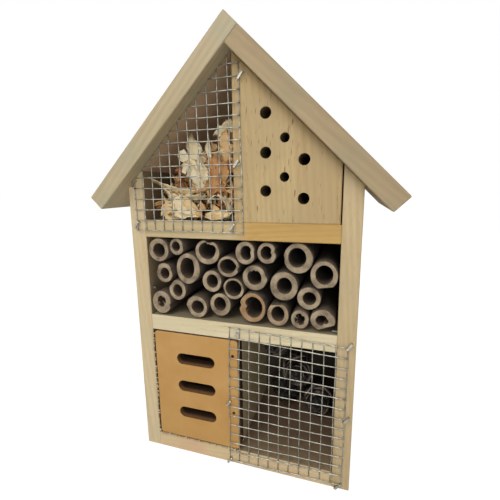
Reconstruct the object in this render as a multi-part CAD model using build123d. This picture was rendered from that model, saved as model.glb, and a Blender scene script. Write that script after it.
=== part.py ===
from build123d import *
import math
import os

# Gabled insect hotel of pine boards, with four nest fillings. Millimetres.
# X runs left to right, Y from front to back, Z up. The origin is the centre of the
# footprint, on the surface that the hotel stands on.

# ---------------------------------------------------------------- driving sizes

# Frame of boards
body_width = 135.0  # over the outer faces of the side walls
body_depth = 75.0  # front of the boards to the rear of the back panel
board = 10.0  # side walls, shelves and divider
back_panel_thickness = 4.0
lower_chamber_height = 76.0
cane_chamber_height = 50.0
wall_height = 175.5  # outer face of a side wall, up to the roof
edge_break = 0.4  # sanded edges of every board

# Roof
roof_pitch = 45.0
roof_board = 10.0
eave_overhang = 19.5  # roof past a side wall, measured level
front_overhang = 10.0

# Divider and slotted front panel of the lower left chamber
divider_right = 0.5  # right face of the divider, from the centre line
panel_thickness = 8.0
panel_side_gap = 1.2  # between the panel and the left wall
panel_end_gap = 0.8  # above and below the panel
panel_corner = 2.0
slot_count = 3
slot_length = 26.0
slot_height = 7.5
slot_pitch = 19.0
slot_rise = 1.0  # middle slot above the panel's middle

# Drilled block of the upper right chamber
block_left = 0.0  # left face of the block, from the centre line
block_wall_gap = 0.7
hole_depth = 60.0
hole_pitch = 19.5
large_hole = 6.0
small_hole = 5.0
drill_point = 59.0  # half angle of the drill's tip
# Each column: distance from the block's left face, lowest hole above the shelf, holes, diameter
hole_columns = [
    (18.0, 17.0, 3, large_hole),
    (28.0, 24.0, 2, small_hole),
    (38.0, 13.0, 2, large_hole),
]

# Welded wire mesh
wire = 0.65
wire_pitch = 6.2
wire_seat = 0.05  # between the wires and the boards behind them
mesh_roof_gap = 0.8  # wire tips below the roof
wire_tip = 0.3  # past the outermost crossings
gable_mesh_lap = 5.2  # onto the drilled block
gable_mesh_drop = 5.7  # onto the upper shelf
lower_mesh_lap = 6.3  # onto the divider
lower_mesh_inset = 3.5  # from the outer face of the right wall
lower_mesh_foot = 2.6  # above the ground

# Staples over the mesh
staple_crown = 4.8
staple_leg = 7.0
staple_width = 1.1
staple_wire = 0.6
staple_bend = 0.45  # outer corners
staple_lean = 53.0  # crown from level, in degrees
# Each staple: the edge of the mesh that it is near, cells in from there, the level that it is
# near, and cells above that level
gable_staples = [
    ("left", 0, "head", 0.5),
    ("left", 0, "foot", 0.5),
    ("right", 1, "foot", 0.5),
    ("right", 0.5, "middle", -1),
    ("right", 0, "head", -1),
]
lower_staples = [
    ("left", 1, "head", 0),
    ("right", 0, "head", 0),
    ("right", 0, "middle", 0),
    ("right", 0.5, "foot", 0),
    ("left", 0, "middle", -0.5),
    ("left", 0, "foot", 0),
]

# Nails
nail_shank = 1.6
nail_head = 3.4
nail_head_height = 0.8
frame_nail_length = 28.0
wall_roof_nail_length = 19.0
ridge_nail_length = 26.0
block_nail_length = 22.0
back_nail_length = 18.0
wall_roof_nail_inset = 2.0  # into the wall, from its outer face
block_nail_inset = 12.0  # from the block's left face
back_nail_foot = 30.0  # lowest nail above the ground
back_nail_below_shelf = 20.0
back_nail_below_roof = 40.0
panel_nail_length = 24.0
panel_nail_rises = (-26.6, 30.4)  # above the panel's middle, through the left wall
brad_head = 2.0
brad_length = 22.0
brad_edge = 3.4  # from the divider's right face
brad_rises = (-11.7, 26.9)  # above the panel's middle
stray_pin_reach = 3.0  # bare pin tip inside the cane chamber
left_pin_rise = 17.0  # above the lower shelf
right_pin_rise = 1.0

# Hanging plate on the back
plate_width = 36.0
plate_height = 22.0
plate_thickness = 1.2
plate_corner = 3.0
plate_drop = 38.0  # keyhole below the inside of the ridge
keyhole = 9.0  # round end, where the wall screw's head enters
keyhole_slot = 4.5
keyhole_rise = 7.0
head_pocket = 13.0  # room in the back panel for the wall screw's head
head_pocket_depth = 3.0
screw_spread = 26.0
screw_length = 5.0
screw_shank = 3.0
screw_head = 6.0
screw_head_height = 1.8
screw_cross = 0.7
screw_cross_length = 3.6

# Bamboo canes, laid out for a chamber of this width and height, and scaled with it
bundle_width = 115.0
bundle_height = 50.0
# Each cane: x from the middle, z above the shelf, width, height, wall, recess from the front
canes = [
    (-50.0, 42.0, 14.5, 15.0, 3.00, 1.0),
    (-37.5, 44.5, 10.0, 10.5, 2.00, 1.0),
    (-18.0, 42.0, 16.0, 15.5, 2.50, 2.0),
    (-31.0, 31.0, 16.5, 20.0, 3.50, 2.0),
    (-47.5, 27.5, 12.0, 13.0, 2.75, 2.0),
    (-39.0, 17.0, 12.0, 13.5, 2.75, 2.0),
    (-50.0, 8.5, 14.0, 15.5, 4.25, 1.0),
    (-26.0, 7.5, 14.5, 14.5, 3.00, 1.5),
    (-11.5, 9.5, 14.0, 15.0, 3.00, 4.0),
    (-16.0, 24.0, 13.0, 14.0, 2.75, 3.0),
    (-5.0, 34.0, 14.0, 13.0, 2.00, 2.0),
    (-2.5, 20.5, 13.5, 13.5, 1.75, 3.0),
    (5.5, 42.5, 12.5, 14.0, 2.75, 2.0),
    (18.0, 43.0, 11.5, 12.5, 2.25, 2.0),
    (10.5, 28.0, 15.0, 15.5, 3.25, 3.0),
    (9.5, 10.5, 16.5, 18.5, 3.50, 1.5),
    (27.5, 24.5, 16.5, 17.5, 3.75, 3.0),
    (35.5, 41.0, 16.5, 17.5, 3.00, 2.0),
    (49.5, 32.5, 15.0, 16.5, 2.75, 1.0),
    (41.5, 18.5, 13.5, 13.5, 2.75, 3.0),
    (24.5, 8.0, 13.0, 14.5, 2.50, 1.5),
    (37.0, 6.5, 10.5, 11.5, 2.25, 1.5),
    (49.5, 7.5, 14.0, 13.0, 3.50, 1.0),
]

# Pine cones, piled in the back right corner of their chamber, in a pile of this width and height
cone_pile_width = 57.0
cone_pile_height = 76.0
cone_widths = [26.0, 24.0, 26.0, 24.5, 24.0]
cone_lengths = [34.0, 32.0, 34.0, 32.0, 31.0]
cone_setbacks = [0.3, 0.3, 1.5, 2.5, 1.0]  # cone tip to back panel
soft_gap = 0.3  # between a soft filling and what it lies on

# Heap of wood shavings
shavings_front = 2.5  # behind the front of the boards
# Height of the heap, and how far along it that is, from the left wall to the block
shavings_heights = [(0, 22.0), (0.2, 24.0), (0.5, 41.0), (0.75, 46.5), (1, 47.0)]

# ---------------------------------------------------------------- derived places

half_width = body_width / 2
inner_half = half_width - board
front = -body_depth / 2
back = body_depth / 2
panel_face = back - back_panel_thickness

floor_top = board
shelf_low = floor_top + lower_chamber_height
shelf_top = shelf_low + board
upper_shelf_low = shelf_top + cane_chamber_height
upper_shelf_top = upper_shelf_low + board

pitch = math.radians(roof_pitch)
rise = math.tan(pitch)
ridge_inside = wall_height + half_width * rise
ridge_top = ridge_inside + roof_board / math.cos(pitch)
divider_left = divider_right - board
mesh_face = front - wire_seat - 2 * wire - wire_seat


def roof_underside(x):
    return ridge_inside - abs(x) * rise


# ---------------------------------------------------------------- helpers


def prism(outline, y_from, y_to):
    """An outline drawn in X and Z, between two depths."""
    return extrude(Plane.XZ.offset(-y_to) * outline, amount=y_to - y_from)


def polygon(points):
    return make_face(Polyline(*points, close=True))


def sanded(solid):
    return chamfer(solid.edges(), edge_break)


def block_between(x_from, x_to, y_from, y_to, z_from, z_to):
    corner = Pos(x_from, y_from, z_from)
    size = (x_to - x_from, y_to - y_from, z_to - z_from)
    return corner * Box(*size, align=(Align.MIN, Align.MIN, Align.MIN))


def rod(start, direction, length, diameter):
    place = Plane(origin=start, z_dir=direction)
    return place * Cylinder(diameter / 2, length, align=(Align.CENTER, Align.CENTER, Align.MIN))


def nail(start, direction, length, head=nail_head):
    """A nail whose head is flush with the face at start."""
    shank = rod(start, direction, length, nail_shank)
    return shank + rod(start, direction, nail_head_height, head)


def drive(boards, fasteners):
    """Cuts each fastener's seat into each board that it passes through."""
    return [board_solid - fasteners for board_solid in boards]


# ---------------------------------------------------------------- boards


def side_wall(side):
    corners = [
        (side * half_width, 0),
        (side * inner_half, 0),
        (side * inner_half, roof_underside(inner_half)),
        (side * half_width, roof_underside(half_width)),
    ]
    return sanded(prism(polygon(corners), front, panel_face))


def level_board(z_low):
    return sanded(block_between(-inner_half, inner_half, front, panel_face, z_low, z_low + board))


def roof_side(side):
    """The left board runs up to the ridge, and the right one butts against its underside."""
    eave = half_width + eave_overhang
    lip_x = eave - roof_board * math.sin(pitch)
    lip_z = ridge_top - eave * rise - roof_board * math.cos(pitch)
    joint_x = roof_board / (2 * math.sin(pitch))
    joint = (joint_x, (ridge_top + ridge_inside) / 2)
    if side < 0:
        ridge = [joint, (0, ridge_top)]
    else:
        ridge = [(0, ridge_inside), joint]
    corners = ridge + [(side * eave, ridge_top - eave * rise), (side * lip_x, lip_z)]
    return sanded(prism(polygon(corners), front - front_overhang, back))


def back_board():
    corners = [
        (-half_width, 0),
        (half_width, 0),
        (half_width, roof_underside(half_width)),
        (0, ridge_inside),
        (-half_width, roof_underside(half_width)),
    ]
    pocket_outline = Pos(0, plate_z) * keyhole_outline(head_pocket, head_pocket)
    pocket = prism(pocket_outline, back - head_pocket_depth, back)
    return sanded(prism(polygon(corners), panel_face, back)) - pocket


def divider_board():
    return sanded(block_between(divider_left, divider_right, panel_back, panel_face, floor_top, shelf_low))


# ---------------------------------------------------------------- slotted panel and drilled block

panel_back = front + panel_thickness
panel_left = -inner_half + panel_side_gap
panel_low = floor_top + panel_end_gap
panel_high = shelf_low - panel_end_gap
panel_x = (panel_left + divider_right) / 2
panel_z = (panel_low + panel_high) / 2


def front_panel():
    face = Rectangle(divider_right - panel_left, panel_high - panel_low)
    solid = prism(Pos(panel_x, panel_z) * face, front, panel_back)
    solid = fillet(solid.edges().filter_by(Axis.Y), panel_corner)
    solid = chamfer(solid.faces().sort_by(Axis.Y)[0].edges(), edge_break)
    for index in range(slot_count):
        z = panel_z + slot_rise + (index - (slot_count - 1) / 2) * slot_pitch
        slot = SlotOverall(slot_length, slot_height)
        solid -= prism(Pos(panel_x, z) * slot, front, panel_back)
    return solid


def drilled_hole(x, z, diameter):
    hole = rod((x, front, z), (0, 1, 0), hole_depth, diameter)
    tip_length = diameter / 2 / math.tan(math.radians(drill_point))
    tip = Cone(diameter / 2, 0, tip_length, align=(Align.CENTER, Align.CENTER, Align.MIN))
    return hole + Plane(origin=(x, front + hole_depth, z), z_dir=(0, 1, 0)) * tip


def nest_block():
    right = inner_half - block_wall_gap
    corners = [
        (block_left, upper_shelf_top),
        (right, upper_shelf_top),
        (right, roof_underside(right)),
        (block_left, roof_underside(block_left)),
    ]
    solid = sanded(prism(polygon(corners), front, panel_face))
    for offset, lowest, count, diameter in hole_columns:
        for index in range(count):
            z = upper_shelf_top + lowest + index * hole_pitch
            solid -= drilled_hole(block_left + offset, z, diameter)
    return solid


# ---------------------------------------------------------------- wire mesh and staples


def spaced(start, end):
    """Even places about one wire pitch apart, with one at each end."""
    cells = round((end - start) / wire_pitch)
    return [start + (end - start) * index / cells for index in range(cells + 1)]


def upright_wire(x, z_from, z_to):
    y = front - wire_seat - wire / 2
    return rod((x, y, z_from), (0, 0, 1), z_to - z_from, wire)


def level_wire(z, x_from, x_to):
    y = front - wire_seat - wire - wire_seat / 2 - wire / 2
    return rod((x_from, y, z), (1, 0, 0), x_to - x_from, wire)


def gable_columns():
    return spaced(-half_width + board / 2, block_left + gable_mesh_lap)


def gable_rows():
    columns = gable_columns()
    cell = columns[1] - columns[0]
    low = upper_shelf_top - gable_mesh_drop
    return [low + index * cell for index in range(int((ridge_inside - cell - low) / cell) + 1)]


def gable_wires():
    columns = gable_columns()
    rows = gable_rows()
    wires = [upright_wire(x, rows[0] - wire_tip, wire_ceiling(x)) for x in columns]
    for z in rows:
        reach = (ridge_inside - z) / rise - mesh_roof_gap
        left = max(columns[0] - wire_tip, -reach)
        right = min(columns[-1] + wire_tip, reach)
        wires.append(level_wire(z, left, right))
    return wires


def lower_columns():
    return spaced(divider_right - lower_mesh_lap, half_width - lower_mesh_inset)


def lower_rows():
    return spaced(lower_mesh_foot, shelf_low + board / 2)


def lower_wires():
    columns = lower_columns()
    rows = lower_rows()
    wires = [upright_wire(x, rows[0] - wire_tip, rows[-1] + wire_tip) for x in columns]
    wires += [level_wire(z, columns[0] - wire_tip, columns[-1] + wire_tip) for z in rows]
    return wires


def staple(x, z):
    """A staple lying over the mesh, with its crown on the slant and its legs in the wood."""
    crown = Pos(0, 0, -staple_wire / 2) * Box(staple_crown, staple_width, staple_wire)
    solid = crown
    leg_length = staple_leg - mesh_face + front
    for end in (-1, 1):
        leg = Box(staple_wire, staple_width, leg_length, align=(Align.CENTER, Align.CENTER, Align.MIN))
        solid += Pos(end * (staple_crown - staple_wire) / 2, 0, 0) * leg
    outer = solid.faces().sort_by(Axis.Z)[0].edges().filter_by(Axis.Y)
    solid = fillet(outer, staple_bend)
    seat = Plane(origin=(x, mesh_face, z), x_dir=(1, 0, 0), z_dir=(0, 1, 0))
    return seat * Rot(0, 0, -staple_lean) * solid


def staples(places, columns, rows, ceiling):
    """Staples at mesh crossings or halfway between two, below the ceiling at their column."""
    column_cell = columns[1] - columns[0]
    row_cell = rows[1] - rows[0]
    solids = []
    for edge, inward, level, above in places:
        x = columns[0] + inward * column_cell
        if edge == "right":
            x = columns[-1] - inward * column_cell
        here = [z for z in rows if z < ceiling(x)]
        levels = {"foot": here[0], "middle": here[len(here) // 2], "head": here[-1]}
        solids.append(staple(x, levels[level] + above * row_cell))
    return solids


def wire_ceiling(x):
    return roof_underside(x) - mesh_roof_gap


# ---------------------------------------------------------------- nails


def quarter_points(start, end):
    """The places a quarter of the way in from each end."""
    quarter = (end - start) / 4
    return (start + quarter, end - quarter)


def frame_nails():
    nails = []
    for side in (-1, 1):
        for z_low in (0, shelf_low, upper_shelf_low):
            for y in quarter_points(front, panel_face):
                head = (side * half_width, y, z_low + board / 2)
                nails.append(nail(head, (-side, 0, 0), frame_nail_length))
    return nails


def roof_nail(side, inside_x, y, length):
    """A nail square to the roof, through the point of its underside at inside_x."""
    x = side * (inside_x + roof_board * math.sin(pitch))
    z = roof_underside(inside_x) + roof_board * math.cos(pitch)
    return nail((x, y, z), (-side * math.sin(pitch), 0, -math.cos(pitch)), length)


def roof_nails():
    nails = []
    for y in quarter_points(front, panel_face):
        for side in (-1, 1):
            nails.append(roof_nail(side, half_width - wall_roof_nail_inset, y, wall_roof_nail_length))
        nails.append(roof_nail(1, block_left + block_nail_inset, y, block_nail_length))
        ridge = (-roof_board / 2 * math.cos(pitch), y, ridge_top - roof_board / 2 * math.sin(pitch))
        nails.append(nail(ridge, (math.sin(pitch), 0, -math.cos(pitch)), ridge_nail_length))
    return nails


def back_nails():
    wall_x = half_width - board / 2
    wall_levels = (back_nail_foot, shelf_low - back_nail_below_shelf, wall_height - back_nail_below_roof)
    places = [(side * wall_x, z) for side in (-1, 1) for z in wall_levels]
    for z_low in (0, shelf_low, upper_shelf_low):
        places += [(side * half_width / 3, z_low + board / 2) for side in (-1, 1)]
    return [nail((x, back, z), (0, -1, 0), back_nail_length) for x, z in places]


def divider_nails():
    x = (divider_left + divider_right) / 2
    nails = []
    for y in quarter_points(panel_back, panel_face):
        nails.append(nail((x, y, 0), (0, 0, 1), frame_nail_length))
        nails.append(nail((x, y, shelf_top), (0, 0, -1), frame_nail_length))
    return nails


def panel_nails():
    """Two brads through the front into the divider, and two nails through the left wall."""
    x = divider_right - brad_edge
    nails = []
    for above in brad_rises:
        nails.append(nail((x, front, panel_z + above), (0, 1, 0), brad_length, brad_head))
    y = front + panel_thickness / 2
    for above in panel_nail_rises:
        nails.append(nail((-half_width, y, panel_z + above), (1, 0, 0), panel_nail_length))
    return nails


def stray_pins():
    """Two pins that show inside the cane chamber, one at each end of the lower shelf."""
    y = front + 2 * nail_shank
    length = board + stray_pin_reach
    left = rod((-half_width, y, shelf_top + left_pin_rise), (1, 0, 0), length, nail_shank)
    right = rod((half_width, y, shelf_top + right_pin_rise), (-1, 0, 0), length, nail_shank)
    return [left, right]


# ---------------------------------------------------------------- hanging plate

plate_z = ridge_inside - plate_drop


def keyhole_outline(round_end, slot):
    outline = Circle(round_end / 2)
    outline += Pos(0, keyhole_rise / 2) * Rectangle(slot, keyhole_rise)
    outline += Pos(0, keyhole_rise) * Circle(slot / 2)
    return outline


def hanging_plate():
    outline = RectangleRounded(plate_width, plate_height, plate_corner)
    outline -= Pos(0, -keyhole_rise / 2) * keyhole_outline(keyhole, keyhole_slot)
    for side in (-1, 1):
        outline -= Pos(side * screw_spread / 2, 0) * Circle(screw_shank / 2)
    return prism(Pos(0, plate_z + keyhole_rise / 2) * outline, back, back + plate_thickness)


def plate_screws():
    screws = []
    face = back + plate_thickness
    for side in (-1, 1):
        x = side * screw_spread / 2
        z = plate_z + keyhole_rise / 2
        shank = rod((x, face, z), (0, -1, 0), screw_length, screw_shank)
        head = rod((x, face, z), (0, 1, 0), screw_head_height, screw_head)
        head = fillet(head.edges().sort_by(Axis.Y)[-1], screw_head_height / 2)
        for turn in (0, 90):
            cross = Rot(0, turn, 0) * Box(screw_cross_length, screw_head_height, screw_cross)
            head -= Pos(x, face + screw_head_height, z) * cross
        screws.append(shank + head)
    return screws


# ---------------------------------------------------------------- fillings


def bamboo_cane(x, z, width, height, wall, recess):
    across = 2 * inner_half / bundle_width
    up = cane_chamber_height / bundle_height
    size = min(across, up)
    ring = Ellipse(width * size / 2, height * size / 2)
    ring -= Ellipse((width / 2 - wall) * size, (height / 2 - wall) * size)
    return prism(Pos(x * across, shelf_top + z * up) * ring, front + recess, panel_face)


def rest_between(first, second, radius):
    """The centre of a round that rests on two others, above the line from first to second."""
    x1, z1, r1 = first
    x2, z2, r2 = second
    a = r1 + radius + soft_gap
    b = r2 + radius + soft_gap
    d = math.hypot(x2 - x1, z2 - z1)
    along = (a * a - b * b + d * d) / (2 * d)
    over = math.sqrt(a * a - along * along)
    ux = (x2 - x1) / d
    uz = (z2 - z1) / d
    return (x1 + ux * along - uz * over, z1 + uz * along + ux * over, radius)


def rest_on_wall(below, wall_x, side, radius):
    """The centre of a round that rests on another one and against a wall to its side."""
    x = wall_x - side * (radius + soft_gap)
    reach = below[2] + radius + soft_gap
    return (x, below[1] + math.sqrt(reach * reach - (x - below[0]) ** 2), radius)


def cone_places():
    chamber_width = inner_half - divider_right
    scale = min(chamber_width / cone_pile_width, lower_chamber_height / cone_pile_height)
    pile_left = inner_half - cone_pile_width * scale
    radii = [width * scale / 2 for width in cone_widths]
    right = (inner_half - soft_gap - radii[0], floor_top + soft_gap + radii[0], radii[0])
    floor_z = floor_top + soft_gap + radii[1]
    reach = radii[0] + radii[1] + soft_gap
    left_x = right[0] - math.sqrt(reach * reach - (floor_z - right[1]) ** 2)
    left = (left_x, floor_z, radii[1])
    middle = rest_between(left, right, radii[2])
    upper_right = rest_on_wall(middle, inner_half, 1, radii[3])
    upper_left = rest_on_wall(middle, pile_left, -1, radii[4])
    return [right, left, middle, upper_right, upper_left]


def pine_cone(place, length, setback):
    x, z, radius = place
    half = EllipticalCenterArc((0, 0), length / 2, radius, 0, arc_size=180)
    profile = make_face(half + Line(half @ 1, half @ 0))
    solid = revolve(profile, Axis.X)
    y = panel_face - setback - length / 2
    return Pos(x, y, z) * Rot(0, 0, 90) * solid


def shavings_heap():
    left = -inner_half + soft_gap
    right = block_left - soft_gap
    low = upper_shelf_top + soft_gap
    points = [(left + (right - left) * along, low + height) for along, height in shavings_heights]
    top = Spline(*points)
    rest = Polyline(points[-1], (right, low), (left, low), points[0])
    return prism(make_face(top + rest), front + shavings_front, panel_face - soft_gap)


# ---------------------------------------------------------------- assembly


def assemble():
    groups = {
        "frame_nails": frame_nails(),
        "roof_nails": roof_nails(),
        "back_panel_nails": back_nails(),
        "divider_nails": divider_nails(),
        "slotted_panel_nails": panel_nails(),
        "stray_pins": stray_pins(),
        "hanging_plate_screws": plate_screws(),
        "gable_mesh_staples": staples(gable_staples, gable_columns(), gable_rows(), wire_ceiling),
        "lower_mesh_staples": staples(lower_staples, lower_columns(), lower_rows(), wire_ceiling),
    }
    boards = {
        "left_wall": side_wall(-1),
        "right_wall": side_wall(1),
        "bottom_board": level_board(0),
        "lower_shelf": level_board(shelf_low),
        "upper_shelf": level_board(upper_shelf_low),
        "divider": divider_board(),
        "left_roof_board": roof_side(-1),
        "right_roof_board": roof_side(1),
        "back_panel": back_board(),
        "slotted_panel": front_panel(),
        "drilled_block": nest_block(),
    }
    fasteners = [piece for group in groups.values() for piece in group]
    nodes = dict(zip(boards, drive(boards.values(), fasteners)))
    nodes.update({name: Compound(children=group) for name, group in groups.items()})
    nodes["hanging_plate"] = hanging_plate()
    nodes["gable_mesh"] = Compound(children=gable_wires())
    nodes["lower_mesh"] = Compound(children=lower_wires())
    nodes["wood_shavings"] = shavings_heap()
    for index, (place, length, setback) in enumerate(zip(cone_places(), cone_lengths, cone_setbacks)):
        nodes[f"pine_cone_{index + 1}"] = pine_cone(place, length, setback)
    for index, cane in enumerate(canes):
        nodes[f"bamboo_cane_{index + 1:02d}"] = bamboo_cane(*cane)
    return nodes


os.makedirs("parts", exist_ok=True)
for name, solid in assemble().items():
    export_step(solid, f"parts/{name}.step")
    print(name, "solids", len(solid.solids()), "volume", round(solid.volume))
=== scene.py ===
# %% [markdown]
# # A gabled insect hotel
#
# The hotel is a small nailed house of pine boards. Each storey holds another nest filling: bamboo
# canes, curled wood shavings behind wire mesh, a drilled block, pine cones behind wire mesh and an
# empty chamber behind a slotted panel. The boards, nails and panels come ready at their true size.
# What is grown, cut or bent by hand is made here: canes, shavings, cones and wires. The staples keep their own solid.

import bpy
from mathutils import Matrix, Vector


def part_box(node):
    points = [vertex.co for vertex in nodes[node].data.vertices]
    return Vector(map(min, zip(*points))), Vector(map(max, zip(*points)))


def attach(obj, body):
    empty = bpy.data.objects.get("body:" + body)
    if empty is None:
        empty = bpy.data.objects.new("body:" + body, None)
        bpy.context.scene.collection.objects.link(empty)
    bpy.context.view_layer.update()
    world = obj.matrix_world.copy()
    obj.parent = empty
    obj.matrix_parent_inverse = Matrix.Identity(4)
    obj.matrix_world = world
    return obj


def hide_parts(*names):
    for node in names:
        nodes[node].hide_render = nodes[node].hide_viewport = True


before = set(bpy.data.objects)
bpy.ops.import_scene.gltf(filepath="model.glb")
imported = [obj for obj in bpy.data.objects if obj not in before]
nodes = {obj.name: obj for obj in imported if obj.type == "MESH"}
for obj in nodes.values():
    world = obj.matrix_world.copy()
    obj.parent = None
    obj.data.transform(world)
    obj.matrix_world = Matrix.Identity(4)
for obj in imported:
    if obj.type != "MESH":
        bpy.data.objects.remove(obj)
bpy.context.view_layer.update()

# %% Modules and units
import math
import random

import bmesh
import bpy
from mathutils import Euler, Matrix, Vector, noise

MM = 0.001

# %% [markdown]
# ## Camera
#
# A camera close to the object gives strong perspective, as a small product on a table has. It is
# placed by its position and three angles, because those are easy to read as one turns the head:
# turned a little to the left, tipped down, and hardly rolled.

# %% Camera
camera_place = Vector((61.49, -206.45, 174.77)) * MM
camera_yaw = -0.3015
camera_pitch = -0.1895
camera_roll = -0.0117
camera_lens = 23.38


def make_camera():
    """A camera that looks along its yaw and pitch, and is then rolled."""
    ahead = Vector((math.sin(camera_yaw), math.cos(camera_yaw), 0)) * math.cos(camera_pitch)
    ahead.z = math.sin(camera_pitch)
    right = Vector((math.cos(camera_yaw), -math.sin(camera_yaw), 0))
    up = right.cross(ahead)
    level = math.cos(camera_roll)
    tilt = math.sin(camera_roll)
    turn = Matrix((right * level + up * tilt, up * level - right * tilt, -ahead)).transposed()
    camera = bpy.data.objects.new("camera", bpy.data.cameras.new("camera"))
    camera.data.lens = camera_lens
    camera.data.clip_start = 5 * MM
    camera.matrix_world = Matrix.Translation(camera_place) @ turn.to_4x4()
    bpy.context.scene.collection.objects.link(camera)
    bpy.context.scene.camera = camera
    return camera


make_camera()
print("camera", [round(value, 3) for value in camera_place])

# %% [markdown]
# ## Finishes
#
# Every finish is a small network of nodes. One helper adds a node, sets it and links it, so that a
# network reads from top to bottom. Colours are written as the sRGB hex values that a paint chart
# would give, and one function turns them into the linear values that the renderer works in.


# %% Helpers for finishes
def colour(code):
    """An sRGB hex code as a linear colour."""
    channels = [int(code[start : start + 2], 16) / 255 for start in (1, 3, 5)]
    linear = [c / 12.92 if c <= 0.04045 else ((c + 0.055) / 1.055) ** 2.4 for c in channels]
    return (*linear, 1.0)


def add(tree, kind, inputs=None, stops=None, **settings):
    """Adds a node. An input is a value, or the output that is linked to it; stops colour a ramp."""
    node = tree.nodes.new(kind)
    for name, value in settings.items():
        setattr(node, name, value)
    for name, value in (inputs or {}).items():
        if isinstance(value, bpy.types.NodeSocket):
            tree.links.new(value, node.inputs[name])
        else:
            node.inputs[name].default_value = value
    if stops:
        marks = node.color_ramp.elements
        while len(marks) < len(stops):
            marks.new(0.5)
        for mark, (position, code) in zip(marks, stops):
            mark.position = position
            mark.color = colour(code)
    return node


def new_finish(name, roughness, metallic=0.0):
    """An empty material with its tree and its surface shader."""
    finish = bpy.data.materials.new(name)
    finish.use_nodes = True
    shader = finish.node_tree.nodes["Principled BSDF"]
    shader.inputs["Roughness"].default_value = roughness
    shader.inputs["Metallic"].default_value = metallic
    return finish, finish.node_tree, shader


print("white is", colour("#ffffff"))

# %% [markdown]
# ### Planed pine
#
# Pine is pale, with soft growth rings about three millimetres apart, fine fibres, and short dark
# resin marks, all drawn out along the grain. The boards differ: some are greyer, one is pinkish and
# one is yellow. An image of wood would be the quick way, but a solid pattern of waves and noise
# also gives each edge and end its own right grain, and it can follow each board's own direction.

# %% Planed pine
ring_spacing = 3.4 * MM
fibre_width = 0.55 * MM
mark_width = 0.8 * MM
blotch_size = 28 * MM


# Where the painted shading inside the hotel begins and how far back it deepens, and the walls, back face, roof
# underside and gable floor that bound it.
painted_shading_start = -37.0 * MM
painted_shading_depth = 26 * MM
wall_inside = 58.5 * MM
back_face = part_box("back_panel")[0].y + 0.4 * MM
roof_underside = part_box("back_panel")[1].z + 0.6 * MM
gable_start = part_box("upper_shelf")[0].z
board = 10 * MM


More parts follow.
